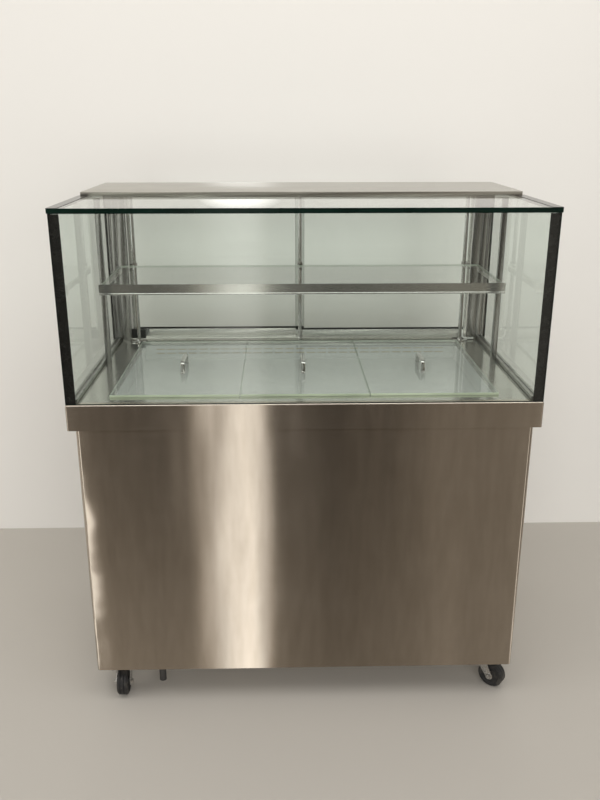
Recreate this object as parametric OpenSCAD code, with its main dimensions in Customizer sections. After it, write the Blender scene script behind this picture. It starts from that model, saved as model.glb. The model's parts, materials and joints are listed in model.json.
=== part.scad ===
// Refrigerated bakery display case on casters: a glass box over a shallow cold well
// and a stainless steel base that holds the cooling machinery.
// The origin is on the floor under the middle of the case.
// +X is the right-hand side seen from the front, -Y is the front, +Z is up.

/* [Case] */
// Width over the steel band and the top glass
case_w = 1220; // [1180:10:1260]
// Depth from the front of the band to its rear
case_d = 700; // [700:5:720]
// Height from the floor to the top of the steel cover
case_h = 1394; // [1388:1:1418]
// Thickness of the stainless sheet
sheet = 1.5; // [1.2:0.1:1.8]

/* [Base cabinet] */
// Floor to the underside of the cabinet, the height of a caster
caster_h = 102; // [102:1:106]
// How far each side of the cabinet is set in from the band
base_inset = 20; // [16:1:24]
// Radius of the bends down the cabinet's corners
bend_r = 10; // [6:0.5:12]
// Height of the removable louvred panel at the back
service_h = 530; // [500:10:540]

/* [Band and deck] */
// Height of the steel band round the deck
band_h = 69; // [66:1:72]
// Radius of the rolled top edge of the band
bead_r = 4; // [3:0.5:4]
// Inside width of the shallow well in the deck
well_w = 994; // [980:2:1000]
// Inside length of the well, front to back
well_d = 523; // [510:1:524]
// Inside depth of the well
well_h = 50; // [44:1:54]

/* [Glass] */
// Thickness of the front and side glass, the lids, the shelf and the doors
glass_t = 6; // [5:0.5:6]
// Thickness of the top glass
top_glass_t = 12; // [10:1:12]
// Width of the black strip down each front corner
trim_w = 25; // [20:1:28]

/* [Shelf] */
// Height of the top of the shelf glass above the floor
shelf_z = 1152; // [1120:1:1170]
// Distance from the front glass to the front of the shelf
shelf_front = 270; // [260:1:285]
// Length of the shelf glass, front to back
shelf_d = 309; // [300:1:312]

/* [Lids] */
// Width of one glass lid over the well
lid_w = 338; // [336:1:339]
// Length of a lid, front to back
lid_d = 550; // [546:1:556]
// Height of a lid pull above the glass
pull_h = 32; // [28:1:36]
// How far a lid lifts clear of the deck
lid_lift = 150; // [100:10:200]

/* [Casters] */
// Diameter of a caster wheel
wheel_dia = 75; // [70:1:75]
// Width of the wheel tread
wheel_w = 30; // [28:1:31]
// Distance from the swivel pin to the axle
trail = 33; // [30:1:34]

/* [Hidden] */

$fn = 48;
cut = 1;                                     // how far a cutting tool runs past a face
free = 0.3;                                  // gap between pieces that move apart
run = 0.05;                                  // radial clearance of a shaft in its hole

half_w = case_w / 2;
base_x = half_w - base_inset;                // half width of the cabinet
base_front = 2;                              // y of the cabinet's front face
base_back = case_d - 16;                     // y of the cabinet's rear flanges
band_z1 = caster_h + 726 + band_h;           // top of the band
band_z0 = band_z1 - band_h;
deck_z = band_z1 - sheet;                    // top of the deck sheet
glass_in = 2;                                // glass box set in from the band
glass_x = half_w - glass_in;                 // outer face of a side glass
cover_h = 10;                                // height of the steel cover on the top glass
cover_y0 = 336;                              // y of the cover's front edge
top_z1 = case_h - cover_h;                   // top of the top glass
top_z0 = top_z1 - top_glass_t;
side_back = 647;                             // y where the side glass ends
sill_y0 = 630;                               // raised sill that carries the door track
sill_y1 = 681.5;
sill_z = deck_z + 5.5;
pole_y = 640;
pole_x = 523;
pole_r = 6;
inner_y = 656;                               // y of the inner and outer sliding doors
outer_y = 680;
jamb_x = 549;                                // inner face of a rear jamb
header_z0 = 1352;
rail_h = 25;
stile_w = 9;
well_y0 = 77;
well_flange = 12;
lid_y0 = 65;
lid_z = deck_z + free;
lid_pitch = lid_w + 2;
pull_y = 309;
drain_x = -416;
drain_y = 66;
drain_r = 12;
tub_z0 = 715;
tub_floor = 25;
coil_x = 280;                                // half width of the evaporator coil
strip_z0 = caster_h + 6 + service_h;
caster_x = 525;
caster_front = 72;
caster_back = 626;
caster_turn = [[-1, caster_front, 0], [1, caster_front, 51],
    [-1, caster_back, 205], [1, caster_back, 160]];
axle_z = wheel_dia / 2;
compressor_x = -330;
compressor_y = 470;
fan_z = 235;
knob_x = 490;
switch_x = 435;
control_z = 675;

// Box between two corners; y is counted from the front of the band
module block(x0, x1, y0, y1, z0, z1)
    translate([x0, y0 - case_d / 2, z0]) cube([x1 - x0, y1 - y0, z1 - z0]);

// Moves its children to a point whose y is counted from the front of the band
module at(x, y, z) translate([x, y - case_d / 2, z]) children();

// The same block on both sides of the case
module pair(x0, x1, y0, y1, z0, z1) {
    block(x0, x1, y0, y1, z0, z1);
    block(-x1, -x0, y0, y1, z0, z1);
}

// Cylinders along x and along y, centred on the origin
module rod_x(r, h) rotate([0, 90, 0]) cylinder(r = r, h = h, center = true);
module rod_y(r, h) rotate([90, 0, 0]) cylinder(r = r, h = h, center = true);

// Flat rectangle with round corners, between two corners
module round_rect(x0, x1, y0, y1, r) {
    translate([x0 + r, y0]) square([x1 - x0 - 2 * r, y1 - y0]);
    translate([x0, y0 + r]) square([x1 - x0, y1 - y0 - 2 * r]);
    for (x = [x0 + r, x1 - r], y = [y0 + r, y1 - r]) translate([x, y]) circle(r = r);
}

// Slab with round corners seen from above, as wide as twice hx
module round_slab(hx, y0, y1, r, z0, z1)
    at(0, 0, z0) linear_extrude(z1 - z0) round_rect(-hx, hx, y0, y1, r);

// Cabinet floor: a tray with a turned-up rim
module floor_pan() color("silver") {
    t = 2;
    rim = 30;
    x = base_x - sheet;
    y0 = base_front + sheet;
    y1 = base_back - sheet;
    difference() {
        round_slab(x, y0, y1, bend_r, caster_h, caster_h + rim);
        round_slab(x - t, y0 + t, y1 - t, bend_r - t, caster_h + t, caster_h + rim + cut);
        at(drain_x, drain_y, caster_h - cut) cylinder(r = drain_r + 1, h = t + 2 * cut);
    }
}

// Front and sides of the cabinet, bent from one sheet, with a flange down each rear edge
module body_wrap() color("silver") {
    z1 = band_z0 + 12;
    flange = 40;
    difference() {
        round_slab(base_x, base_front, base_back, bend_r, caster_h, z1);
        round_slab(base_x - sheet, base_front + sheet, base_back - sheet,
            bend_r - sheet, caster_h - cut, z1 + cut);
        block(-base_x + flange, base_x - flange, base_back - 2 * sheet, base_back + cut,
            caster_h - cut, z1 + cut);
    }
}

// Fixed strip across the back, with windows for the controls and the cord gland
module rear_strip() color("silver") difference() {
    x = base_x - 2;
    block(-x, x, base_back, base_back + sheet, strip_z0, band_z0 - free);
    block(400, 520, base_back - cut, base_back + sheet + cut, control_z - 24, control_z + 24);
    at(-500, base_back, control_z) rod_y(9, 4 * sheet);
}

// Removable panel with rows of raised louvres that let air into the machinery
module service_panel() color("silver") {
    x = base_x - 2;
    y0 = base_back + free;
    z0 = caster_h + 2;
    z1 = strip_z0 - 2;
    louvre_w = 240;
    louvre_r = 8;
    difference() {
        union() {
            block(-x, x, y0, y0 + sheet, z0, z1);
            for (col = [-1, 1], row = [0:7])
                at(col * 150, y0 + sheet, z0 + 90 + row * 32)
                    intersection() {
                        rod_x(louvre_r, louvre_w);
                        translate([-louvre_w / 2, -sheet, 0])
                            cube([louvre_w, 2 * louvre_r, louvre_r]);
                    }
        }
        for (col = [-1, 1], row = [0:7])
            at(col * 150, y0 + sheet / 2, z0 + 90 + row * 32)
                intersection() {
                    rod_x(louvre_r - sheet, louvre_w - 2 * sheet);
                    translate([-louvre_w / 2, -sheet, -cut])
                        cube([louvre_w, 2 * louvre_r, louvre_r]);
                }
        panel_screw_places() rod_y(2.4, 6 * sheet);
    }
}

// The eight screw places round the edge of the service panel
module panel_screw_places() {
    z0 = caster_h + 20;
    z1 = strip_z0 - 16;
    for (x = [-572, -190, 190, 572], z = [z0, z1]) at(x, base_back + free, z) children();
}

// Captive thumb screws of the service panel
module panel_screws() color("gainsboro") panel_screw_places() {
    translate([0, 3 * sheet / 2, 0]) rod_y(2.3, 3 * sheet);
    translate([0, sheet + 3, 0]) rod_y(7, 6);
}

// Steel band round the deck with a rolled top edge
module band() color("silver") {
    ledge = 22;
    roll_z = band_z1 - bead_r;
    far = case_d - bead_r;
    lip = 18;
    difference() {
        union() {
            round_slab(half_w, 0, case_d, bead_r, band_z0, roll_z);
            round_slab(half_w - bead_r, bead_r, far, 1, roll_z, band_z1);
            for (y = [bead_r, far])
                at(0, y, roll_z) rod_x(bead_r, case_w - 2 * bead_r);
            for (x = [bead_r - half_w, half_w - bead_r]) {
                at(x, case_d / 2, roll_z) rod_y(bead_r, case_d - 2 * bead_r);
                for (y = [bead_r, far]) at(x, y, roll_z) sphere(r = bead_r);
            }
        }
        block(-half_w + ledge, half_w - ledge, ledge, case_d - lip, band_z0 - cut, band_z1 + cut);
        round_slab(half_w - sheet, sheet, case_d - sheet, bead_r - sheet,
            band_z0 + sheet, roll_z - bead_r);
        block(-half_w + 2 * bead_r, half_w - 2 * bead_r, 2 * bead_r, case_d - 2 * bead_r,
            band_z0 + sheet, deck_z);
        block(-base_x - free, base_x + free, sheet, base_back + 2 * sheet,
            band_z0 - cut, band_z0 + 2 * sheet);
    }
}

// Foam tub under the deck: it holds the cold well and the air space below it
module insulated_tub() color("khaki") {
    x = base_x - sheet - 1;
    cold_x = 540;
    difference() {
        round_slab(x, 2 * bead_r + 0.5, base_back - 2 * sheet, bend_r, tub_z0, deck_z - sheet);
        block(-cold_x, cold_x, 52, 648, tub_z0 + tub_floor, deck_z);
        at(drain_x, drain_y, tub_z0 - cut) cylinder(r = drain_r, h = tub_floor + 2 * cut);
        at(compressor_x, compressor_y, tub_z0 - cut)
            cylinder(r = 5, h = tub_floor + 2 * cut);
        at(-185, 625, tub_z0 - cut) cylinder(r = 5, h = tub_floor + 2 * cut);
    }
}

// Deck sheet with the opening of the well and the raised sill behind it
module deck_top() color("silver") {
    x = half_w - 2 * bead_r - 0.5;
    sill_x = 495;
    y1 = case_d - 2 * bead_r - 0.5;
    difference() {
        union() {
            block(-x, x, 2 * bead_r + 0.5, y1, deck_z - sheet, deck_z);
            block(-sill_x, sill_x, sill_y0, sill_y1, deck_z - sheet, sill_z);
        }
        block(-well_w / 2, well_w / 2, well_y0, well_y0 + well_d, deck_z - 2 * sheet, deck_z + cut);
        block(-sill_x + sheet, sill_x - sheet, sill_y0 + sheet, sill_y1 - sheet,
            deck_z - 2 * sheet, sill_z - sheet);
    }
}

// Bottom sheet of the well with its drain hole
module well_floor() color("silver") {
    x = well_w / 2 + sheet;
    z0 = deck_z - well_h;
    difference() {
        block(-x, x, well_y0 - sheet, well_y0 + well_d + sheet, z0 - sheet, z0);
        at(drain_x, well_y0 + 24, z0 - 2 * sheet) cylinder(r = 10, h = 4 * sheet);
    }
}

// Side and front panels of the well, each hung under the deck by a flange
module well_panels() color("silver") {
    x = well_w / 2;
    y1 = well_y0 + well_d;
    z1 = deck_z - sheet;
    z0 = deck_z - well_h;
    pair(x, x + sheet, well_y0, y1, z0, z1);
    pair(x, x + well_flange, well_y0, y1, z1 - sheet, z1);
    block(-x - sheet, x + sheet, well_y0 - sheet, well_y0, z0, z1);
    block(-x - well_flange, x + well_flange, well_y0 - well_flange, well_y0, z1 - sheet, z1);
}

// Rear panel of the well, with two rows of slots for the cold air
module air_panel() color("silver") {
    x = well_w / 2;
    y1 = well_y0 + well_d;
    z1 = deck_z - sheet;
    z0 = deck_z - well_h;
    slots = 27;
    slot_w = 28;
    slot_h = 5;
    pitch = 34.6;
    difference() {
        union() {
            block(-x - sheet, x + sheet, y1, y1 + sheet, z0, z1);
            block(-x - well_flange, x + well_flange, y1, y1 + well_flange, z1 - sheet, z1);
        }
        for (row = [16.5, 29.5], i = [0:slots - 1])
            at((i - (slots - 1) / 2) * pitch, y1, deck_z - row)
                translate([-slot_w / 2, -cut, -slot_h / 2]) cube([slot_w, 3 * cut, slot_h]);
    }
}

// Finned coil in the air space below the well
module evaporator_coil() color("lightsteelblue") {
    x = coil_x;
    z0 = tub_z0 + tub_floor + 4;
    z1 = z0 + 72;
    difference() {
        block(-x, x, 430, 560, z0, z1);
        for (i = [-22:22])
            block(i * 12 - 4, i * 12 + 4, 430 - cut, 440, z0 - cut, z1 + cut);
    }
    for (y = [460, 500, 540])
        at(x, y, z0 + 36) rotate_extrude() translate([13, 0]) circle(r = 4.5, $fn = 24);
}

// Square frame of the fan that pushes cold air through the slots
module evaporator_fan_frame() color("dimgray") {
    side = 92;
    y0 = 340;
    y1 = 365;
    z = tub_z0 + tub_floor + side / 2;
    difference() {
        block(-side / 2, side / 2, y0, y1, z - side / 2, z + side / 2);
        at(0, (y0 + y1) / 2, z) rod_y(42, 40);
    }
    at(0, y0 + 2, z) {
        rod_y(16, 4);
        for (a = [45, 135]) rotate([0, a, 0]) cube([88, 4, 5], center = true);
        translate([0, 5, 0]) rod_y(2, 8);
    }
}

// Rotor of the cold-air fan
module evaporator_fan_blade() color("black") {
    z = tub_z0 + tub_floor + 46;
    at(0, 354, z) fan_rotor(14, 38, 14, 7, 2 + run);
}

// Fan rotor on the y axis: hub, blades and a bore for its shaft
module fan_rotor(hub_r, tip_r, depth, blades, bore_r) difference() {
    union() {
        rod_y(hub_r, depth);
        for (i = [0:blades - 1])
            rotate([0, i * 360 / blades, 0]) translate([hub_r - 2, 0, 0]) rotate([32, 0, 0])
                translate([0, -1, -hub_r * 0.55]) cube([tip_r - hub_r, 2, hub_r * 1.1]);
    }
    rod_y(bore_r, depth + 2 * cut);
}

// Condensate pipe from the tub down through the cabinet floor
module drain_pipe() color("dimgray") at(drain_x, drain_y, 0) {
    spigot_z = 22;
    spigot_h = 40;
    top_z = tub_z0 + tub_floor;
    difference() {
        union() {
            translate([0, 0, spigot_z]) cylinder(r = drain_r - 2, h = spigot_h);
            translate([0, 0, spigot_z + spigot_h])
                cylinder(r = drain_r - 0.2, h = top_z - spigot_z - spigot_h);
            translate([0, 0, top_z]) cylinder(r = drain_r + 1.8, h = 2);
        }
        translate([0, 0, spigot_z - cut]) cylinder(r = drain_r - 4.5, h = tub_z0 + 2 * tub_floor);
    }
}

// Upright panes of the glass box
module front_glass() color("honeydew", 0.3)
    block(-glass_x, glass_x, glass_in, glass_in + glass_t, band_z1, top_z0);

module side_glass(side) color("honeydew", 0.3) {
    y0 = glass_in + glass_t + 2.2;
    x0 = side > 0 ? glass_x - glass_t : -glass_x;
    block(x0, x0 + glass_t, y0, side_back, band_z1, top_z0);
}

module left_side_glass() side_glass(-1);
module right_side_glass() side_glass(1);

// Top pane, which overhangs the upright panes a little
module top_glass() color("honeydew", 0.3)
    block(-half_w, half_w, 0, side_back, top_z0, top_z1);

// Black strips bonded behind the front corners and taped along the sides of the top pane
module corner_trims() color("black") {
    y0 = glass_in + glass_t;
    x0 = glass_x - trim_w;
    pair(x0, glass_x, y0, y0 + 2, band_z1, top_z0 - 2);
    pair(glass_x - glass_t - 2, glass_x - glass_t, y0 + 2, y0 + 12, band_z1, top_z0 - 2);
    pair(half_w - trim_w, half_w, 0, cover_y0 - free, top_z1, top_z1 + 0.8);
}

// Channels that hold the lower edges of the side panes
module glass_channels() color("gray") {
    y0 = glass_in + glass_t + 14;
    x1 = glass_x - glass_t - free;
    difference() {
        pair(x1 - 20, x1, y0, side_back, band_z1, band_z1 + 9);
        pair(x1 - 14, x1 - 8, y0 - cut, side_back + cut, band_z1 + 6, band_z1 + 9 + cut);
    }
}

// Flat uprights beside the side panes, which carry the shelf and the steel cover
module mid_posts() color("silver") pair(565, 581, 384, 396, deck_z, top_z0);

// Round rear upright with a flanged foot
module rear_pole(x, foot_z, foot_r) color("gainsboro") at(x, pole_y, 0) {
    translate([0, 0, foot_z]) cylinder(r = pole_r, h = top_z0 - foot_z);
    translate([0, 0, foot_z]) cylinder(r = foot_r, h = 3);
    translate([0, 0, foot_z + 3]) cylinder(r1 = pole_r + 1.4, r2 = pole_r, h = 5);
}

module rear_poles() {
    for (x = [-pole_x, pole_x]) rear_pole(x, deck_z, 26);
    rear_pole(0, sill_z, 7.5);
}

// Glass shelf
module shelf_glass() color("honeydew", 0.3)
    block(-556, 556, shelf_front + sheet, shelf_front + shelf_d + 6, shelf_z - glass_t, shelf_z);

// Steel front rail of the shelf, with a rolled hem below and two side arms
module shelf_frame() color("silver") {
    x = 560;
    hem_r = 3;
    z0 = shelf_z - 29;
    seat_z = shelf_z - glass_t;
    y = shelf_front;
    block(-x, x, y, y + sheet, z0 + hem_r, shelf_z + 1);
    at(0, y + sheet, z0 + hem_r) rod_x(hem_r, 2 * x);
    block(-x, x, y, y + 14, seat_z - sheet, seat_z);
    pair(552, 556, y, y + shelf_d, seat_z - 14, seat_z);
    pair(555, 565, 387, 393, seat_z - 12, seat_z - 2);
}

// Clips on the three rear poles that carry the back of the shelf
module shelf_clips() color("dimgray") {
    seat_z = shelf_z - glass_t;
    y0 = shelf_front + shelf_d - 6;
    for (x = [-pole_x, 0, pole_x]) {
        difference() {
            union() {
                at(x, pole_y, seat_z - 10) cylinder(r = 9, h = 16);
                block(x - 5, x + 5, y0, pole_y - 4, seat_z - 8, seat_z);
            }
            at(x, pole_y, seat_z - 20) cylinder(r = pole_r + run, h = 40);
        }
        block(x - 5, x + 5, shelf_front + shelf_d + 6 + free, shelf_front + shelf_d + 9,
            seat_z - 8, shelf_z + 4);
    }
}

// Hollow corner uprights on both sides of the door opening, ribbed on their inner faces
module rear_jambs() color("silver") {
    y1 = 692;
    difference() {
        union() {
            pair(jamb_x, glass_x, side_back, y1, band_z1, top_z0);
            pair(jamb_x, half_w - 24, side_back, y1 - 12, deck_z, band_z1);
            for (rib = [[jamb_x, 571], [576, 590], [595, 601]])
                pair(rib[0], rib[1], side_back - 2.5, side_back, band_z1 + 9 + free, top_z0);
        }
        pair(jamb_x + sheet, glass_x - sheet, side_back + sheet, y1 - sheet,
            band_z1, top_z0 + cut);
    }
}

// Header over the doors, with a groove for the top edge of each door
module rear_header() color("silver") {
    groove = 7;
    difference() {
        union() {
            block(-jamb_x, jamb_x, side_back, 692, header_z0, top_z1);
            pair(jamb_x, half_w - glass_in, side_back, 692, top_z0, top_z1);
        }
        for (y = [inner_y, outer_y])
            block(-jamb_x - cut, jamb_x + cut, y - groove / 2, y + groove / 2,
                header_z0 - cut, header_z0 + 16);
    }
}

// Double track on the sill: one low rib for each door
module door_track() color("gray") {
    x = jamb_x - 1;
    block(-x, x, 648, 690, sill_z, sill_z + 3);
    for (y = [inner_y, outer_y]) block(-x, x, y - 1.5, y + 1.5, sill_z + 3, sill_z + 10);
}

// Pane of a sliding door; its top edge stands in the header's groove
module door_glass(x0, x1, y) color("honeydew", 0.3)
    block(x0, x1, y - glass_t / 2, y + glass_t / 2, sill_z + 16, header_z0 + 12);

module left_door_glass() door_glass(-546, 14, outer_y);
module right_door_glass() door_glass(-14, 546, inner_y);

// Bottom rail of a door, and the stile at its outer end with a finger ridge behind
module door_rail(x0, x1, y, side) color("silver") {
    stile_x = side > 0 ? x1 - stile_w : x0;
    ridge_x = side > 0 ? x1 - 2 * sheet : x0;
    z0 = sill_z + 3 + free;
    glass_z = sill_z + 16;
    difference() {
        block(x0, x1, y - 6, y + 6, z0, z0 + rail_h);
        block(x0 - cut, x1 + cut, y - 2.5, y + 2.5, z0 - cut, z0 + 8.5);
        block(x0 - cut, x1 + cut, y - glass_t / 2, y + glass_t / 2, glass_z, z0 + rail_h + cut);
    }
    block(ridge_x, ridge_x + 2 * sheet, y + 4.5, y + 11, 1040, 1220);
    difference() {
        block(stile_x, stile_x + stile_w, y - 4.5, y + 4.5, z0 + rail_h, header_z0 - 1);
        block(stile_x - cut, stile_x + stile_w + cut, y - glass_t / 2, y + glass_t / 2,
            z0 + rail_h - cut, header_z0);
    }
}

module left_door_rail() door_rail(-546, 14, outer_y, -1);
module right_door_rail() door_rail(-14, 546, inner_y, 1);

// Black block at the left end of the inner track that stops the inner door
module door_stop() color("black") difference() {
    block(-548, -504, inner_y - 6, inner_y + 6, sill_z + 3, sill_z + 32);
    block(-548 - cut, -504 + cut, inner_y - 1.5, inner_y + 1.5, sill_z + 2, sill_z + 10);
}

// White lead from the right-hand pole down to the deck
module sensor_lead() color("white") {
    lead_r = 1.8;
    bend = 12;
    z = deck_z + 3 + lead_r;
    x = pole_x + pole_r + lead_r + free;
    y = pole_y;
    run_end = x + 38;
    at(x, y, z + bend) cylinder(r = lead_r, h = 12, $fn = 24);
    at(x + bend, y, z + bend) rotate([90, 0, 0]) rotate([0, 0, 180])
        rotate_extrude(angle = 90) translate([bend, 0]) circle(r = lead_r, $fn = 24);
    at(x + bend, y, z) rotate([0, 90, 0])
        cylinder(r = lead_r, h = run_end - x - bend, $fn = 24);
    at(x, y, z + bend + 10) cylinder(r = lead_r + 0.3, h = 7, $fn = 24);
}

// Glass lids that rest on the deck over the well
module lid(i) color("honeydew", 0.3)
    block(i * lid_pitch - lid_w / 2, i * lid_pitch + lid_w / 2, lid_y0, lid_y0 + lid_d,
        lid_z, lid_z + glass_t);

module left_lid() lid(-1);
module middle_lid() lid(0);
module right_lid() lid(1);

// Bent strap pull on a lid, with its feet on the glass
module lid_pull(i) color("gainsboro") {
    strap = 4;
    strap_w = 12;
    len = 100;
    r = 11;
    foot = 12;
    z0 = lid_z + glass_t;
    at(i * lid_pitch - strap_w / 2, pull_y, z0) rotate([90, 0, 90]) linear_extrude(strap_w) {
        difference() {
            round_rect(-len / 2, len / 2, -r, pull_h, r);
            round_rect(-len / 2 + strap, len / 2 - strap, -r, pull_h - strap, r - strap);
            translate([-len, -2 * pull_h]) square([2 * len, 2 * pull_h]);
        }
        for (s = [-1, 1]) translate([s * (len / 2 + foot / 2 - 1), 1]) square([foot, 2], center = true);
    }
}

module left_lid_pull() lid_pull(-1);
module middle_lid_pull() lid_pull(0);
module right_lid_pull() lid_pull(1);

// Shallow steel cover on the rear half of the top
module top_cover() color("gainsboro") {
    x = 605;
    y1 = 690;
    difference() {
        block(-x, x, cover_y0, y1, top_z1, case_h);
        block(-x + sheet, x - sheet, cover_y0 + sheet, y1 - sheet, top_z1 - cut, case_h - sheet);
    }
}

// Sealed compressor on its feet
module compressor() color("dimgray") at(compressor_x, compressor_y, caster_h + 2) {
    for (x = [-85, 85], y = [-60, 60]) translate([x, y, 0]) cylinder(r = 11, h = 18);
    translate([-105, -75, 18]) cube([210, 150, 4]);
    translate([0, 0, 22]) cylinder(r = 72, h = 110);
    translate([0, 0, 132]) cylinder(r1 = 72, r2 = 40, h = 34);
    translate([60, -28, 60]) cube([34, 56, 60]);
}

// Finned block behind the louvres
module condenser_coil() color("lightsteelblue") {
    x = 160;
    z0 = caster_h + 30;
    z1 = z0 + 216;
    difference() {
        block(-x, x, 600, 650, z0, z1);
        for (i = [-14:14]) block(i * 11 - 4, i * 11 + 4, 600 - cut, 610, z0 - cut, z1 + cut);
        for (i = [-14:14]) block(i * 11 - 4, i * 11 + 4, 640, 650 + cut, z0 - cut, z1 + cut);
    }
    pair(x - 12, x, 615, 635, caster_h + 2, z0);
}

// Motor on its stand, with the shaft that drives the fan
module condenser_fan_motor() color("dimgray") {
    at(0, 515, fan_z) rod_y(36, 50);
    at(0, 560, fan_z) rod_y(4, 56);
    block(-30, 30, 495, 499, caster_h + 2, fan_z);
    block(-30, 30, 495, 545, caster_h + 2, caster_h + 5);
}

module condenser_fan_blade() color("gray") at(0, 570, fan_z) fan_rotor(22, 95, 22, 5, 4 + run);

// Quarter bend of tube in the xy plane, from the -x arm to the +y arm
module tube_bend(r, bend) rotate_extrude(angle = 90) translate([bend, 0]) circle(r = r, $fn = 24);

// Copper lines between the compressor, the condenser and the evaporator
module refrigerant_lines() color("peru") {
    r = 4;
    bend = 16;
    suction_top = tub_z0 + tub_floor + 40;
    low_z = 230;
    cond_z = caster_h + 200;
    // suction: straight up from the compressor, then across to the coil
    at(compressor_x, compressor_y, caster_h + 168)
        cylinder(r = r, h = suction_top - bend - caster_h - 168);
    at(compressor_x + bend, compressor_y, suction_top - bend)
        rotate([90, 0, 0]) rotate([0, 0, 90]) tube_bend(r, bend);
    run_x0 = compressor_x + bend;
    at((run_x0 - coil_x) / 2, compressor_y, suction_top) rod_x(r, -coil_x - run_x0);
    // discharge: from the compressor's side to the condenser's end
    at(-240, compressor_y, low_z) rod_x(r, 36);
    at(-222, compressor_y + bend, low_z) rotate([0, 0, -90]) tube_bend(r, bend);
    at(-222 + bend, 548, low_z) rod_y(r, 124);
    at(-222 + 2 * bend, 610, low_z) rotate([0, 0, 90]) tube_bend(r, bend);
    at(-175, 610 + bend, low_z) rod_x(r, 30);
    // liquid: from the condenser's end up into the tub and forward to the coil
    at(-173, 625, cond_z) rod_x(r, 26);
    at(-185, 625, cond_z) sphere(r = r);
    at(-185, 625, cond_z) cylinder(r = r, h = suction_top - bend - cond_z);
    at(-185, 625 - bend, suction_top - bend)
        rotate([90, 0, 90]) tube_bend(r, bend);
    at(-185, (560 + 625 - bend) / 2, suction_top) rod_y(r, 625 - bend - 560);
}

// Box behind the rear strip with the switch and the thermostat
module control_box() color("dimgray") difference() {
    block(395, 525, 630, base_back - free, control_z - 30, control_z + 30);
    // pocket of the rocker
    block(switch_x - 11.3, switch_x + 11.3, base_back - 14, base_back + cut,
        control_z - 15.3, control_z + 15.3);
    at(switch_x, base_back - 5, control_z) rod_x(2 + run, 30);
    at(knob_x, base_back - 6, control_z) rod_y(3 + run, 20);
}

// Rocker of the main switch, with its pivot pins
module power_switch() color("black") at(switch_x, base_back - 5, control_z) {
    rotate([90, 0, 90]) linear_extrude(22, center = true)
        polygon([[-4, -5], [-4, 5], [8, 14], [5, 0], [8, -14]]);
    rod_x(4, 22);
    rod_x(2, 28);
}

// Round dial of the thermostat, with a pointer ridge
module thermostat_knob() color("black") at(knob_x, base_back, control_z) {
    translate([0, 6, 0]) rod_y(18, 11);
    translate([0, 12, 6]) cube([3, 3, 20], center = true);
    translate([0, -6, 0]) rod_y(3, 18);
}

// Gland for the mains lead
module cord_gland() color("black") at(-500, base_back, control_z) difference() {
    union() {
        rod_y(8.9, 24);
        translate([0, sheet + 3, 0]) rotate([90, 30, 0]) cylinder(r = 14, h = 6, $fn = 6, center = true);
        translate([0, sheet + 10, 0]) rod_y(11, 8);
        translate([0, -5, 0]) rotate([90, 30, 0]) cylinder(r = 14, h = 5, $fn = 6, center = true);
    }
    rod_y(5, 60);
}

// Top plates and swivel pins of the four casters
module caster_plates() color("gainsboro") for (c = caster_turn) at(c[0] * caster_x, c[1], 0) {
    translate([-46, -34, caster_h - 3]) cube([92, 68, 3]);
    translate([0, 0, caster_h - 10]) cylinder(r = 21, h = 8);
    translate([0, 0, caster_h - 24]) cylinder(r = 6, h = 16);
    translate([0, 0, caster_h - 24]) cylinder(r = 10, h = 3);
    for (x = [-36, 36], y = [-25, 25]) translate([x, y, caster_h - 7]) cylinder(r = 6, h = 5, $fn = 6);
}

// Swivelling fork of a caster with its axle bolt
module fork(i) color("darkgray") {
    c = caster_turn[i];
    leg = 3;
    leg_x = wheel_w / 2 + 2.5;
    crown_z = caster_h - 20.5;
    at(c[0] * caster_x, c[1], 0) rotate([0, 0, c[2]]) {
        difference() {
            union() {
                translate([0, 0, crown_z]) cylinder(r = 22, h = 10.2);
                translate([-leg_x - leg, -19, crown_z]) cube([2 * (leg_x + leg), 36, 4]);
            }
            translate([0, 0, crown_z - cut]) cylinder(r = 6 + run, h = 14);
        }
        for (s = [-1, 1]) translate([s * (leg_x + leg / 2), 0, 0])
            rotate([90, 0, 90]) linear_extrude(leg, center = true) {
                polygon([[17, crown_z + 4], [-19, crown_z + 4], [-trail - 11, axle_z],
                    [-trail + 9, axle_z - 5]]);
                translate([-trail, axle_z]) circle(r = 11);
            }
        translate([0, -trail, axle_z]) {
            rod_x(4, 2 * (leg_x + leg));
            for (s = [-1, 1]) translate([s * (leg_x + leg + 3), 0, 0])
                rotate([0, 90, 0]) cylinder(r = 7.5, h = 6, $fn = 6, center = true);
        }
    }
}

module front_left_fork() fork(0);
module front_right_fork() fork(1);
module rear_left_fork() fork(2);
module rear_right_fork() fork(3);

// Wheel with two grooves round its tread
module wheel(i) color("black") {
    c = caster_turn[i];
    r = wheel_dia / 2;
    w = wheel_w / 2;
    at(c[0] * caster_x, c[1], 0) rotate([0, 0, c[2]])
        translate([0, -trail, axle_z]) rotate([0, 90, 0]) rotate_extrude($fn = 72)
            polygon([[4 + run, -w - 1.5], [12, -w - 1.5], [14, -w + 2], [24, -w + 2], [27, -w],
                [r - 4, -w], [r, -w + 4], [r, -6], [r - 1.5, -5], [r, -4], [r, 4],
                [r - 1.5, 5], [r, 6], [r, w - 4], [r - 4, w], [27, w], [24, w - 2],
                [14, w - 2], [12, w + 1.5], [4 + run, w + 1.5]]);
}

module front_left_wheel() wheel(0);
module front_right_wheel() wheel(1);
module rear_left_wheel() wheel(2);
module rear_right_wheel() wheel(3);

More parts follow.
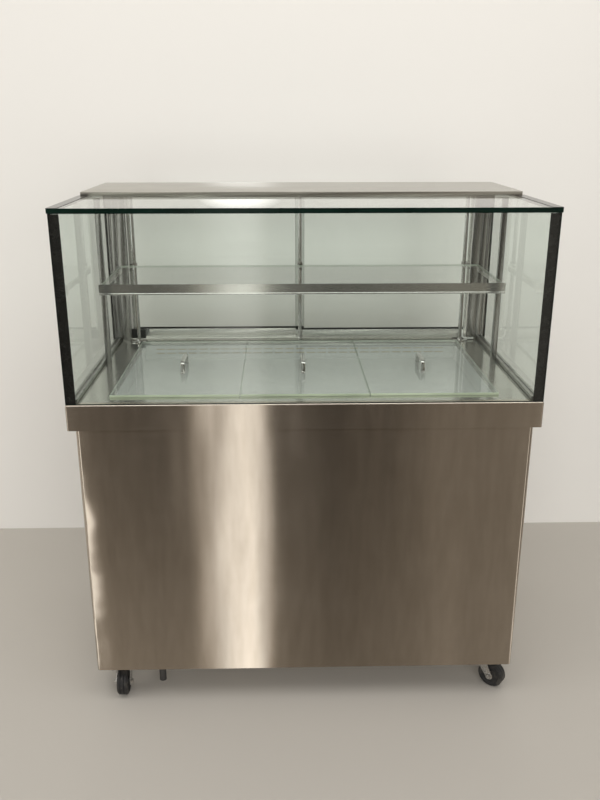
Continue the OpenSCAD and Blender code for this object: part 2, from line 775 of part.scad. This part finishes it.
floor_pan();
body_wrap();
rear_strip();
service_panel();
panel_screws();
band();
insulated_tub();
deck_top();
well_floor();
well_panels();
air_panel();
evaporator_coil();
evaporator_fan_frame();
evaporator_fan_blade();
drain_pipe();
front_glass();
left_side_glass();
right_side_glass();
top_glass();
corner_trims();
glass_channels();
mid_posts();
rear_poles();
shelf_glass();
shelf_frame();
shelf_clips();
rear_jambs();
rear_header();
door_track();
left_door_glass();
left_door_rail();
right_door_glass();
right_door_rail();
door_stop();
sensor_lead();
left_lid();
middle_lid();
right_lid();
left_lid_pull();
middle_lid_pull();
right_lid_pull();
top_cover();
compressor();
condenser_coil();
condenser_fan_motor();
condenser_fan_blade();
refrigerant_lines();
control_box();
power_switch();
thermostat_knob();
cord_gland();
caster_plates();
front_left_fork();
front_right_fork();
rear_left_fork();
rear_right_fork();
front_left_wheel();
front_right_wheel();
rear_left_wheel();
rear_right_wheel();
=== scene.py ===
"""Looks of the refrigerated bakery display case: glass box, steel deck and cabinet, cold well and casters.

Every length is in metres. The origin is on the floor under the middle of the case, -Y is the front.
"""

import json
import math

import bmesh
import bpy
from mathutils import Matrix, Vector


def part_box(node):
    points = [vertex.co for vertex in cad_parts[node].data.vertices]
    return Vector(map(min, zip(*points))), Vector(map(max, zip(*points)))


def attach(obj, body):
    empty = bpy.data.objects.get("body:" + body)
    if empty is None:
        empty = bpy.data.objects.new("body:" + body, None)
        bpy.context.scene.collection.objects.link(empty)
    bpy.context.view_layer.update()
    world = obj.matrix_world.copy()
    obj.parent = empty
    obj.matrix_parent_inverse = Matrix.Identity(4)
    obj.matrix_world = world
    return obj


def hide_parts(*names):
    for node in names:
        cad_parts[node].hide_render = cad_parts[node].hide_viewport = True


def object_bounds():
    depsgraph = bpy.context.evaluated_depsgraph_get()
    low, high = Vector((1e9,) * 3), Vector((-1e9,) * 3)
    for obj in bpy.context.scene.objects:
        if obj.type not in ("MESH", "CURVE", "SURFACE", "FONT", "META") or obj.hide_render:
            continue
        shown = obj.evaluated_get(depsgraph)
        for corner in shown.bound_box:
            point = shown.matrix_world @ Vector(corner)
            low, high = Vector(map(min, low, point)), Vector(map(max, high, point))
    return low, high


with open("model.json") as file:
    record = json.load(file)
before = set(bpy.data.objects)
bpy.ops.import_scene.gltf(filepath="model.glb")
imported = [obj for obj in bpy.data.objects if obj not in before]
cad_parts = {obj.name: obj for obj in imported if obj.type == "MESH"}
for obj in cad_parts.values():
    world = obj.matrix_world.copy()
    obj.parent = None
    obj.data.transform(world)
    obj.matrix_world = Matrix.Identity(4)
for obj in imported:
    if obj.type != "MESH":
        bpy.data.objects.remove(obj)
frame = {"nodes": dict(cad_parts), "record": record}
cad_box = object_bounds()
nodes = frame["nodes"]
record = frame["record"]
BODY_OF = {n: body for body, names in record["behaviour"]["bodies"].items() for n in names}
SLOT_OF = {part["node"]: part["material_slot"] for part in record["subparts"]}

MM = 0.001
FRONT = cad_box[0][1]


# ---------------------------------------------------------------- camera

def add_camera():
    """Stands at eye height, a little left of the middle, and looks down at the case."""
    data = bpy.data.cameras.new("camera")
    data.sensor_fit = "HORIZONTAL"
    data.sensor_width = 36
    data.lens = 49.69
    camera = bpy.data.objects.new("camera", data)
    camera.location = (-0.0623, FRONT - 1.9866, 1.5833)
    camera.rotation_euler = (math.pi / 2 - 0.3278, 0, -0.0237)
    bpy.context.scene.collection.objects.link(camera)
    bpy.context.scene.camera = camera


add_camera()


# ---------------------------------------------------------------- finishes

class Finish:
    """A node-based material, with short calls for the nodes that the finishes share."""

    def __init__(self, name):
        self.material = bpy.data.materials.new(name)
        self.material.use_nodes = True
        self.tree = self.material.node_tree
        self.tree.nodes.clear()
        self.output = self.tree.nodes.new("ShaderNodeOutputMaterial")
        self.place = self.tree.nodes.new("ShaderNodeTexCoord").outputs["Object"]

    def node(self, kind, inputs=(), **settings):
        made = self.tree.nodes.new(kind)
        for key, value in settings.items():
            setattr(made, key, value)
        for key, value in dict(inputs).items():
            self.feed(made.inputs[key], value)
        return made

    def feed(self, socket, value):
        if isinstance(value, bpy.types.NodeSocket):
            self.tree.links.new(value, socket)
        else:
            socket.default_value = value

    def stretched(self, scale):
        return self.node("ShaderNodeMapping", {"Vector": self.place, "Scale": scale}).outputs[0]

    def noise(self, scale, detail=2, at=None, roughness=0.5, distortion=0.0):
        return self.node("ShaderNodeTexNoise", {
            "Vector": at or self.place, "Scale": scale, "Detail": detail,
            "Roughness": roughness, "Distortion": distortion}).outputs["Fac"]

    def ramp(self, value, low, high, to_low=0.0, to_high=1.0):
        return self.node("ShaderNodeMapRange", {
            "Value": value, "From Min": low, "From Max": high,
            "To Min": to_low, "To Max": to_high}).outputs[0]

    def blend(self, share, first, second):
        made = self.node("ShaderNodeMix", data_type="RGBA")
        self.feed(made.inputs[0], share)
        self.feed(made.inputs[6], first)
        self.feed(made.inputs[7], second)
        return made.outputs[2]

    def maths(self, operation, first, second=0.0):
        made = self.node("ShaderNodeMath", operation=operation)
        self.feed(made.inputs[0], first)
        self.feed(made.inputs[1], second)
        return made.outputs[0]

    def bump(self, height, distance, strength=1.0, under=None):
        made = self.node("ShaderNodeBump", {"Height": height, "Distance": distance, "Strength": strength})
        if under is not None:
            self.feed(made.inputs["Normal"], under)
        return made.outputs[0]

    def surface(self, **inputs):
        """The Principled shader, with each input named as on its socket and _ for a space."""
        shader = self.node("ShaderNodeBsdfPrincipled")
        for key, value in inputs.items():
            self.feed(shader.inputs[key.replace("_", " ")], value)
        self.show(shader.outputs[0])
        return shader

    def show(self, shader):
        self.tree.links.new(shader, self.output.inputs["Surface"])
        return self.material


def rgb(red, green, blue):
    return (red, green, blue, 1)


def brushed_sheet(name, light, dark, grain, polish, stretch=0.0, waves=(2.5, 4, 3), sway=1.0, contrast=1.0,
                  curl=0.0, metal=1.0):
    """Stainless sheet: fine parallel grain, slow waves in the sheet, wiped patches and streaks.

    Sway and curl are in millimetres. A sheet with some curl rolls back towards its left-hand edge, most of
    all low down.
    """
    f = Finish(name)
    lines = f.noise(1.0, 3, f.stretched(grain), 0.6)
    broad_lines = f.noise(1.0, 2, f.stretched([g * 0.3 for g in grain]), 0.5)
    patches = f.noise(2.6, 4, roughness=0.6)
    wear = f.ramp(f.noise(11, 4, roughness=0.6), 0.50, 0.75)
    tone = f.maths("ADD", f.maths("MULTIPLY", lines, 0.7), f.maths("MULTIPLY", broad_lines, 0.3))
    tone = f.ramp(tone, 0.3, 0.7, 0.5 - 0.5 * contrast, 0.5 + 0.5 * contrast)
    tone = f.maths("ADD", tone, f.ramp(patches, 0.3, 0.7, -0.6 * contrast, 0.6 * contrast))
    streaks = f.noise(1.0, 3, f.stretched([w * 5 for w in waves]), 0.5)
    tone = f.maths("ADD", tone, f.ramp(streaks, 0.3, 0.7, -contrast, contrast))
    colour = f.blend(tone, rgb(*dark), rgb(*light))
    rough = f.maths("ADD", f.ramp(lines, 0.25, 0.75, polish - 0.02, polish + 0.03),
                    f.maths("MULTIPLY", wear, 0.03))
    normal = f.bump(f.noise(1.0, 1, f.stretched(waves), 0.4), sway * MM)
    if curl:
        x, y, z = f.node("ShaderNodeSeparateXYZ", {0: f.place}).outputs
        edge = f.maths("POWER", f.ramp(x, -0.53, -0.59), 2.0)
        low = f.ramp(z, 0.75, 0.30, 0.15, 1.0)
        wave = f.ramp(f.noise(1.0, 2, f.stretched((0, 0, 6))), 0.35, 0.65, 0.35, 1.0)
        drop = f.maths("MULTIPLY", edge, f.maths("MULTIPLY", low, wave))
        normal = f.bump(f.maths("SUBTRACT", 1.0, drop), curl * MM, 1.0, normal)
    normal = f.bump(lines, 0.004 * MM, 0.5, normal)
    shader = f.surface(Base_Color=colour, Metallic=metal, Roughness=rough, Normal=normal)
    shader.inputs["Anisotropic"].default_value = stretch
    shader.inputs["Anisotropic Rotation"].default_value = 0.25
    return f.material


def polished_bar(name):
    """Polished stainless bar with fine draw lines and a few dull rubbed spots."""
    f = Finish(name)
    lines = f.noise(1.0, 2, f.stretched((700, 700, 12)))
    rubs = f.ramp(f.noise(60, 4), 0.5, 0.8)
    colour = f.blend(rubs, rgb(0.60, 0.59, 0.58), rgb(0.46, 0.45, 0.43))
    rough = f.maths("ADD", f.ramp(lines, 0.3, 0.7, 0.05, 0.10), f.maths("MULTIPLY", rubs, 0.08))
    f.surface(Base_Color=colour, Metallic=1.0, Roughness=rough, Normal=f.bump(lines, 0.02 * MM, 0.5))
    return f.material


def clear_pane(name, tint, haze=0.012, least_haze=0.0):
    """Float glass seen through its faces: it mirrors at its front face and is faintly green and smeared."""
    f = Finish(name)
    smears = f.ramp(f.noise(5, 5, f.stretched((1, 1, 0.45)), 0.65, 0.6), 0.45, 0.8)
    turned = f.node("ShaderNodeNewGeometry").outputs["Backfacing"]
    fresnel = f.node("ShaderNodeFresnel", {"IOR": 1.5}).outputs[0]
    mirror = f.maths("MULTIPLY", fresnel, f.maths("SUBTRACT", 1.0, turned))
    through = f.node("ShaderNodeBsdfTransparent", {
        "Color": f.blend(smears, rgb(*tint), rgb(*[c * 0.985 for c in tint]))}).outputs[0]
    shine = f.node("ShaderNodeBsdfGlossy", {
        "Color": rgb(1, 1, 1), "Roughness": f.maths("MULTIPLY", smears, 0.05)}).outputs[0]
    film = f.node("ShaderNodeBsdfDiffuse", {"Color": rgb(0.85, 0.87, 0.84)}).outputs[0]
    faint = f.node("ShaderNodeMixShader", {
        0: f.ramp(smears, 0, 1, least_haze, haze), 1: through, 2: film}).outputs[0]
    f.show(f.node("ShaderNodeMixShader", {0: mirror, 1: faint, 2: shine}).outputs[0])
    return f.material


def glass_edge(name, light, dark, glow):
    """Ground edge of a pane, green, with a fine grinding line. Its brightness is painted light: copies of
    this one edge are painted dark where the edge lies in shade and bright where light gathers in it, and glow
    is a painted glow.
    """
    f = Finish(name)
    depth = f.noise(1.0, 3, f.stretched((9, 9, 9)))
    grind = f.noise(1.0, 2, f.stretched((40, 40, 900)))
    colour = f.blend(f.ramp(depth, 0.3, 0.7), rgb(*dark), rgb(*light))
    f.surface(Base_Color=colour, Roughness=f.ramp(grind, 0.3, 0.7, 0.12, 0.3), Specular_IOR_Level=0.2,
              Emission_Color=colour, Emission_Strength=glow, Normal=f.bump(grind, 0.03 * MM, 0.4))
    return f.material


def moulded(name, colour, pale, rough, pebble, depth):
    """Moulded plastic or rubber: a fine pebbled skin, with dust in the low places."""
    f = Finish(name)
    skin = f.noise(pebble, 4, roughness=0.6)
    dust = f.ramp(f.noise(35, 5, roughness=0.7), 0.5, 0.8)
    tone = f.blend(f.maths("MULTIPLY", dust, 0.55), rgb(*colour), rgb(*pale))
    f.surface(Base_Color=tone, Roughness=f.ramp(skin, 0.3, 0.7, rough - 0.08, rough + 0.08),
              Normal=f.bump(skin, depth, 0.6))
    return f.material


def plated(name, light, dark, rough, metallic=1.0):
    """Zinc plate, drawn tube or cast metal: mottled, with duller and darker spots."""
    f = Finish(name)
    mottle = f.noise(140, 4, roughness=0.65)
    spots = f.ramp(f.noise(45, 4), 0.5, 0.72)
    tone = f.blend(f.ramp(f.maths("ADD", mottle, f.maths("MULTIPLY", spots, 0.35)), 0.35, 0.9),
                   rgb(*light), rgb(*dark))
    f.surface(Base_Color=tone, Metallic=metallic,
              Roughness=f.maths("ADD", f.ramp(mottle, 0.3, 0.7, rough, rough + 0.14),
                                f.maths("MULTIPLY", spots, 0.12)),
              Normal=f.bump(mottle, 0.04 * MM, 0.5))
    return f.material


FINS_PER_METRE = 330


def finned(name):
    """Stacked aluminium fins: bright fin edges, with painted shade in the thin dark gaps between them."""
    f = Finish(name)
    x = f.node("ShaderNodeSeparateXYZ", {0: f.place}).outputs[0]
    fins = f.maths("FRACT", f.maths("MULTIPLY", x, FINS_PER_METRE))
    edge = f.ramp(f.maths("ABSOLUTE", f.maths("SUBTRACT", fins, 0.5)), 0.15, 0.4)
    dust = f.ramp(f.noise(18, 5), 0.45, 0.75)
    # Painted shade: the thin gaps between the fins, where shade falls, are painted near black.
    tone = f.blend(edge, rgb(0.66, 0.68, 0.70), rgb(0.10, 0.10, 0.11))
    tone = f.blend(f.maths("MULTIPLY", dust, 0.35), tone, rgb(0.33, 0.30, 0.26))
    f.surface(Base_Color=tone, Metallic=0.8, Roughness=f.ramp(dust, 0, 1, 0.35, 0.7),
              Normal=f.bump(edge, 0.3 * MM, 0.6))
    return f.material


def foam_block(name):
    """Rigid foam: pale yellow cells with a browned skin."""
    f = Finish(name)
    cells = f.node("ShaderNodeTexVoronoi", {"Vector": f.place, "Scale": 420}).outputs["Distance"]
    skin = f.noise(7, 5)
    tone = f.blend(f.ramp(skin, 0.35, 0.7), rgb(0.82, 0.74, 0.50), rgb(0.66, 0.52, 0.30))
    f.surface(Base_Color=tone, Roughness=f.ramp(cells, 0, 0.6, 0.95, 0.7),
              Normal=f.bump(cells, 0.4 * MM, 0.5))
    return f.material


# How dense the grain is along X, Y and Z: it runs along the axes with the small number
LEVEL_GRAIN = (6, 6, 1400)
UPRIGHT_GRAIN = (1400, 1400, 6)
DECK_GRAIN = (6, 1400, 1400)
finishes = {
    "brushed_steel": brushed_sheet("brushed_steel", (0.64, 0.585, 0.515), (0.56, 0.505, 0.435), LEVEL_GRAIN,
                                   0.22, 1.0, (8, 8, 1.5), 2.4, 0.4),
    "satin_steel": brushed_sheet("satin_steel", (0.64, 0.64, 0.60), (0.54, 0.54, 0.50), DECK_GRAIN,
                                 0.15, 0.0, (2.5, 4, 3), 0.7, 0.3, metal=0.85),
    "polished_steel": polished_bar("polished_steel"),
    "clear_glass": clear_pane("clear_glass", (0.945, 0.966, 0.954)),
    "black_border": moulded("black_border", (0.012, 0.012, 0.012), (0.05, 0.048, 0.044),
                            0.16, 320, 0.01 * MM),
    "grey_aluminium": plated("grey_aluminium", (0.52, 0.52, 0.50), (0.38, 0.38, 0.37), 0.32),
    "coil_aluminium": finned("coil_aluminium"),
    "foam": foam_block("foam"),
    "black_plastic": moulded("black_plastic", (0.018, 0.018, 0.018), (0.07, 0.066, 0.06),
                             0.42, 900, 0.03 * MM),
    # Painted shade: the grey plastic is painted near black, darker than grey, because the drain stub it
    # covers lies in the shade under the case.
    "grey_plastic": moulded("grey_plastic", (0.035, 0.034, 0.033), (0.09, 0.085, 0.08),
                            0.45, 700, 0.03 * MM),
    "white_plastic": moulded("white_plastic", (0.86, 0.86, 0.83), (0.70, 0.67, 0.60),
                             0.32, 500, 0.01 * MM),
    "black_rubber": moulded("black_rubber", (0.014, 0.014, 0.014), (0.06, 0.056, 0.05),
                            0.62, 650, 0.05 * MM),
    "black_paint": plated("black_paint", (0.025, 0.025, 0.027), (0.06, 0.056, 0.05), 0.26, 0.0),
    "copper": plated("copper", (0.80, 0.47, 0.32), (0.42, 0.24, 0.15), 0.28),
    "zinc_plate": plated("zinc_plate", (0.74, 0.75, 0.76), (0.44, 0.43, 0.40), 0.20),
    "caster_rubber": moulded("caster_rubber", (0.016, 0.016, 0.017), (0.15, 0.135, 0.11),
                             0.55, 380, 0.05 * MM),
}
thin_glass = clear_pane("thin_glass", (0.980, 0.988, 0.980))
lid_glass = clear_pane("lid_glass", (0.990, 0.995, 0.991), 0.26, 0.16)
# Painted light: the same ground glass edge painted in four brightnesses, dark as painted shade on the clear
# panes, bright with a painted glow on the lids and the shelf.
painted_dark_edge = glass_edge("glass_edge_dark", (0.002, 0.012, 0.008), (0.001, 0.006, 0.004), 0.0)
painted_bright_edge = glass_edge("glass_edge_bright", (0.56, 0.60, 0.46), (0.38, 0.42, 0.31), 0.06)
painted_pale_edge = glass_edge("glass_edge_pale", (0.66, 0.70, 0.64), (0.50, 0.55, 0.50), 0.14)
painted_soft_edge = glass_edge("glass_edge_soft", (0.48, 0.52, 0.45), (0.36, 0.40, 0.34), 0.05)
upright_steel = brushed_sheet("upright_steel", (0.50, 0.50, 0.49), (0.34, 0.34, 0.34), UPRIGHT_GRAIN,
                              0.22, 0.0, (5, 5, 1), 0.5, 0.5)
cover_steel = brushed_sheet("cover_steel", (0.53, 0.52, 0.475), (0.48, 0.47, 0.43), DECK_GRAIN,
                            0.30, 0.0, (2, 3, 2), 0.5, 0.3)
well_steel = brushed_sheet("well_steel", (0.92, 0.93, 0.92), (0.84, 0.85, 0.84), DECK_GRAIN,
                           0.13, 0.0, (3, 4, 3), 0.3, 0.2, metal=0.35)
rail_steel = brushed_sheet("rail_steel", (0.90, 0.90, 0.86), (0.82, 0.82, 0.785), LEVEL_GRAIN,
                           0.22, 0.0, (3, 3, 3), 0.06, 0.1, metal=0.75)
shelf_steel = brushed_sheet("shelf_steel", (0.68, 0.67, 0.65), (0.60, 0.59, 0.57), LEVEL_GRAIN,
                            0.12, 0.0, (3, 3, 3), 0.06, 0.2, metal=0.9)
slotted_steel = brushed_sheet("slotted_steel", (0.90, 0.92, 0.90), (0.82, 0.84, 0.82), DECK_GRAIN,
                              0.40, 0.0, (3, 4, 3), 0.3, 0.2, metal=0.0)
cabinet_steel = brushed_sheet("cabinet_steel", (0.64, 0.585, 0.515), (0.56, 0.505, 0.435), LEVEL_GRAIN,
                              0.22, 1.0, (8, 8, 1.5), 2.4, 0.4, 14.0)
OWN_FINISH = {
    "body_wrap": cabinet_steel, "mid_posts": upright_steel, "rear_jambs": upright_steel,
    "top_cover": cover_steel, "well_floor": well_steel, "well_panels": well_steel, "air_panel": slotted_steel,
    "left_door_rail": rail_steel, "right_door_rail": rail_steel, "door_track": rail_steel,
    "shelf_frame": shelf_steel,
}


def finish_of(node):
    return OWN_FINISH.get(node, finishes[SLOT_OF[node]])


# ---------------------------------------------------------------- pieces

def add_piece(name, bm, materials, body, replaced=(), smooth=False):
    """Makes a bmesh into a piece that moves with a body and stands for the CAD nodes it replaces."""
    mesh = bpy.data.meshes.new(name)
    bm.to_mesh(mesh)
    bm.free()
    for material in materials:
        mesh.materials.append(material)
    if smooth:
        mesh.shade_smooth()
    piece = bpy.data.objects.new(name, mesh)
    bpy.context.scene.collection.objects.link(piece)
    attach(piece, body)
    if replaced:
        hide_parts(*replaced)
    return piece


def soft_box(bm, low, high, radius, segments=2):
    """A box between two corners, with every edge rounded."""
    low, high = Vector(low), Vector(high)
    made = bmesh.ops.create_cube(bm, size=1)["verts"]
    bmesh.ops.scale(bm, verts=made, vec=high - low)
    bmesh.ops.translate(bm, verts=made, vec=(low + high) / 2)
    edges = list({e for v in made for e in v.link_edges})
    bmesh.ops.bevel(bm, geom=edges, offset=radius, offset_type="OFFSET", affect="EDGES",
                    segments=segments, profile=0.5, material=-1, clamp_overlap=True)


ARRIS = 0.7 * MM


def glass_pane(node, pane, edge, side_edge=None):
    """A pane with arrised edges. With a side_edge, only the front one has the edge finish."""
    low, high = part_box(node)
    bm = bmesh.new()
    soft_box(bm, low, high, ARRIS)
    size = high - low
    thin = min(range(3), key=lambda axis: size[axis])
    for face in bm.faces:
        face.material_index = 0 if abs(face.normal[thin]) > 0.99 else 1
        if face.material_index and side_edge and face.normal.y > -0.5:
            face.material_index = 2
    finish_list = [pane, edge] + ([side_edge] if side_edge else [])
    add_piece(node + "_pane", bm, finish_list, BODY_OF[node], [node])


def eased_copy(node, width, segments=2):
    """The CAD node's own shape with its sharp edges eased, as deburred sheet and moulded parts have."""
    bm = bmesh.new()
    bm.from_mesh(nodes[node].data)
    bmesh.ops.remove_doubles(bm, verts=bm.verts, dist=0.002 * MM)
    bmesh.ops.dissolve_limit(bm, angle_limit=math.radians(0.5), verts=bm.verts, edges=bm.edges)
    piece = add_piece(node + "_eased", bm, [finish_of(node)], BODY_OF[node], [node], smooth=True)
    bevel = piece.modifiers.new("ease", "BEVEL")
    bevel.width = width
    bevel.segments = segments
    bevel.limit_method = "ANGLE"
    bevel.angle_limit = math.radians(50)
    bevel.harden_normals = True


for node in ("front_glass", "top_glass", "left_side_glass", "right_side_glass",
             "left_door_glass", "right_door_glass"):
    glass_pane(node, finishes["clear_glass"], painted_dark_edge)
for node in ("left_lid", "middle_lid", "right_lid"):
    glass_pane(node, lid_glass, painted_bright_edge, painted_soft_edge)
glass_pane("shelf_glass", thin_glass, painted_pale_edge, painted_soft_edge)

# Width of the eased edge of each piece, in millimetres
EASED = {
    "mid_posts": 1.0, "top_cover": 0.8,
    "left_lid_pull": 0.8, "middle_lid_pull": 0.8, "right_lid_pull": 0.8,
    "left_door_rail": 0.5, "right_door_rail": 0.5, "rear_jambs": 0.5, "rear_header": 0.8,
    "door_stop": 1.2, "door_track": 0.4, "glass_channels": 0.5, "control_box": 1.0,
    "power_switch": 0.5, "thermostat_knob": 0.8, "cord_gland": 0.5, "caster_plates": 0.4,
    "front_left_fork": 0.4, "front_right_fork": 0.4, "rear_left_fork": 0.4, "rear_right_fork": 0.4,
}
for node, width in EASED.items():
    eased_copy(node, width * MM)

GASKET_H = 4 * MM
GASKET_T = 1.3 * MM
GASKET_ROUND = 0.4 * MM
DOOR_RAIL_H = 25 * MM
DOOR_STILE_W = 9.5 * MM
AIR = 0.1 * MM


def door_gasket(side):
    """Black rubber line on both faces of a sliding door's pane, on top of its rail and up to its stile."""
    pane = side + "_door_glass"
    pane_low, pane_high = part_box(pane)
    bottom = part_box(side + "_door_rail")[0].z + DOOR_RAIL_H
    x0 = pane_low.x + (DOOR_STILE_W if side == "left" else 0)
    x1 = pane_high.x - (DOOR_STILE_W if side == "right" else 0)
    bm = bmesh.new()
    for y0 in (pane_low.y - AIR - GASKET_T, pane_high.y + AIR):
        soft_box(bm, (x0, y0, bottom + AIR), (x1, y0 + GASKET_T, bottom + GASKET_H), GASKET_ROUND)
    add_piece(side + "_door_gasket", bm, [finishes["black_rubber"]], BODY_OF[pane])


for side in ("left", "right"):
    door_gasket(side)

for name, cad_object in nodes.items():
    cad_object.data.materials.clear()
    cad_object.data.materials.append(finish_of(name))


# ---------------------------------------------------------------- studio

def stage_plane(name, corners, material):
    bm = bmesh.new()
    bm.faces.new([bm.verts.new(c) for c in corners])
    mesh = bpy.data.meshes.new(name)
    bm.to_mesh(mesh)
    bm.free()
    mesh.materials.append(material)
    plane = bpy.data.objects.new(name, mesh)
    bpy.context.scene.collection.objects.link(plane)
    return plane


def plain_paint(name, colour):
    f = Finish(name)
    f.show(f.node("ShaderNodeBsdfDiffuse", {"Color": rgb(*colour)}).outputs[0])
    return f.material


def one_sided_paint(name, colour):
    """Backdrop paint that is clear from behind, so that the case can be looked at from the back."""
    f = Finish(name)
    paint = f.node("ShaderNodeBsdfDiffuse", {"Color": rgb(*colour)}).outputs[0]
    clear = f.node("ShaderNodeBsdfTransparent").outputs[0]
    turned = f.node("ShaderNodeNewGeometry").outputs["Backfacing"]
    f.show(f.node("ShaderNodeMixShader", {0: turned, 1: paint, 2: clear}).outputs[0])
    return f.material


def soft_light(name, place, aim, width, height, watts, colour, mirrored=True):
    data = bpy.data.lights.new(name, "AREA")
    data.shape = "RECTANGLE"
    data.size = width
    data.size_y = height
    data.energy = watts
    data.color = colour
    light = bpy.data.objects.new(name, data)
    light.location = place
    light.rotation_euler = (Vector(aim) - Vector(place)).to_track_quat("-Z", "Y").to_euler()
    light.visible_camera = False
    light.visible_glossy = mirrored
    bpy.context.scene.collection.objects.link(light)


def only_mirrored(card):
    """Keeps a card out of the picture and off the lit surfaces: only shiny metal and glass show it."""
    card.visible_camera = False
    card.visible_diffuse = False
    card.visible_shadow = False
    card.visible_transmission = False


# Place across the steel front, in metres, and the strength of the glow that shows there
ROOM_BANDS = [
    (-1.45, 0.20), (-1.10, 0.15), (-1.05, 1.3), (-0.78, 1.4), (-0.73, 0.16), (-0.56, 0.10), (-0.40, 0.065),
    (-0.31, 0.08), (-0.255, 0.40), (-0.21, 1.15), (-0.15, 1.60), (-0.125, 1.30), (-0.09, 0.09),
    (-0.04, 0.065), (0.08, 0.05), (0.18, 0.08), (0.32, 0.14), (0.40, 0.22), (0.47, 0.17),
    (0.53, 0.21), (0.66, 0.22), (0.74, 0.9), (0.90, 0.9), (1.0, 0.15), (1.45, 0.2)]
FAN_LENGTH = 1.99
FAN_MIDDLE = -0.06
BANDS_REACH = 1.5


def surroundings():
    """Dim room in front of the case with one tall bright opening and brighter sides.

    Its tones fan out from a point before the case, so that flat upright steel shows them as upright bands.
    """
    f = Finish("surroundings")
    x, y = f.node("ShaderNodeSeparateXYZ", {0: f.place}).outputs[:2]
    ahead = f.maths("SUBTRACT", FRONT, y)
    fan = f.maths("ADD", f.maths("DIVIDE", ahead, FAN_LENGTH), 1.0)
    across = f.maths("DIVIDE", f.maths("SUBTRACT", x, FAN_MIDDLE), fan)
    along = f.ramp(across, -BANDS_REACH - FAN_MIDDLE, BANDS_REACH - FAN_MIDDLE)
    ramp = f.node("ShaderNodeValToRGB", {"Fac": along})
    stops = ramp.color_ramp.elements
    while len(stops) > 1:
        stops.remove(stops[-1])
    for number, (place, glow) in enumerate(ROOM_BANDS):
        position = (place + BANDS_REACH) / (2 * BANDS_REACH)
        stop = stops[0] if number == 0 else stops.new(position)
        stop.position = position
        stop.color = rgb(glow, glow, glow)
    near = f.maths("MULTIPLY", f.ramp(ahead, 1.7, 0.0, 0.0, 0.20), f.ramp(across, -0.5, 0.6, 1.2, 0.25))
    glow = f.maths("ADD", ramp.outputs[0], near)
    colour = f.blend(glow, rgb(1.0, 0.82, 0.62), rgb(1.0, 0.95, 0.88))
    f.show(f.node("ShaderNodeEmission", {"Color": colour, "Strength": glow}).outputs[0])
    return f.material


def level_corners(half_width, y0, y1, z):
    return [(-half_width, y0, z), (half_width, y0, z), (half_width, y1, z), (-half_width, y1, z)]


def upright_corners(x0, x1, y, z0, z1):
    return [(x0, y, z0), (x1, y, z0), (x1, y, z1), (x0, y, z1)]


LAMP_X = -0.20
LAMP_Y = 0.60
LAMP_Z = 1.44
LAMP_HALF_W = 0.16
LAMP_HALF_H = 0.05


def lamp_glow():
    """Oval glow that fades towards its rim."""
    f = Finish("lamp_glow")
    x, y, z = f.node("ShaderNodeSeparateXYZ", {0: f.place}).outputs
    across = f.maths("POWER", f.maths("MULTIPLY", f.maths("SUBTRACT", x, LAMP_X), 6.6), 2.0)
    upward = f.maths("POWER", f.maths("MULTIPLY", f.maths("SUBTRACT", z, LAMP_Z), 20.0), 2.0)
    bare = f.node("ShaderNodeBsdfTransparent").outputs[0]
    shine = f.node("ShaderNodeEmission", {"Color": rgb(1, 0.98, 0.94), "Strength": 1.7}).outputs[0]
    return f.show(f.node("ShaderNodeMixShader", {
        0: f.ramp(f.maths("ADD", across, upward), 0.0, 1.0), 1: shine, 2: bare}).outputs[0])


WALL_Y = 0.72
ROOM_Y = FRONT - 3.2
STAGE_REACH = 9
STAGE_TOP = 7
ROOM_REACH = 6
ROOM_TOP = 5
CARD_LIFT = 3 * MM

stage_plane("studio_floor", level_corners(STAGE_REACH, -STAGE_REACH, STAGE_REACH, 0),
            plain_paint("floor_paint", (0.50, 0.475, 0.435)))
wall = stage_plane("studio_wall", upright_corners(-STAGE_REACH, STAGE_REACH, WALL_Y, 0, STAGE_TOP),
                   one_sided_paint("wall_paint", (0.76, 0.745, 0.715)))
wall.visible_shadow = False
room_tones = surroundings()
only_mirrored(stage_plane("room_floor", level_corners(ROOM_REACH, ROOM_Y, FRONT, CARD_LIFT), room_tones))
only_mirrored(stage_plane("room_front", upright_corners(-ROOM_REACH, ROOM_REACH, ROOM_Y, 0, ROOM_TOP),
                          room_tones))
lamp_corners = upright_corners(LAMP_X - LAMP_HALF_W, LAMP_X + LAMP_HALF_W, LAMP_Y,
                               LAMP_Z - LAMP_HALF_H, LAMP_Z + LAMP_HALF_H)
only_mirrored(stage_plane("top_lamp", lamp_corners, lamp_glow()))

soft_light("front_softbox", (0.6, -5.2, 1.7), (0, 0.7, 0.5), 5.0, 3.0, 174, (1.0, 0.98, 0.95), mirrored=False)
soft_light("overhead", (0.2, -1.2, 4.0), (0, 0.1, 0.6), 4.0, 2.6, 60, (1.0, 0.97, 0.93))
soft_light("left_window", (-3.6, -1.0, 1.9), (0, 0, 0.8), 2.4, 2.6, 24, (1.0, 0.98, 0.95))
soft_light("wall_wash", (0.1, 0.40, 1.12), (0.1, WALL_Y, 1.12), 1.1, 0.36, 0.6, (1.0, 0.98, 0.96),
           mirrored=False)
soft_light("rear_softbox", (0.3, 4.5, 2.2), (0, 0, 0.7), 3.0, 2.4, 36, (1.0, 0.98, 0.95), mirrored=False)

world = bpy.data.worlds.new("studio_air")
world.use_nodes = True
world.node_tree.nodes["Background"].inputs["Color"].default_value = rgb(0.92, 0.90, 0.87)
world.node_tree.nodes["Background"].inputs["Strength"].default_value = 0.40
bpy.context.scene.world = world
bpy.context.scene.view_settings.view_transform = "Standard"
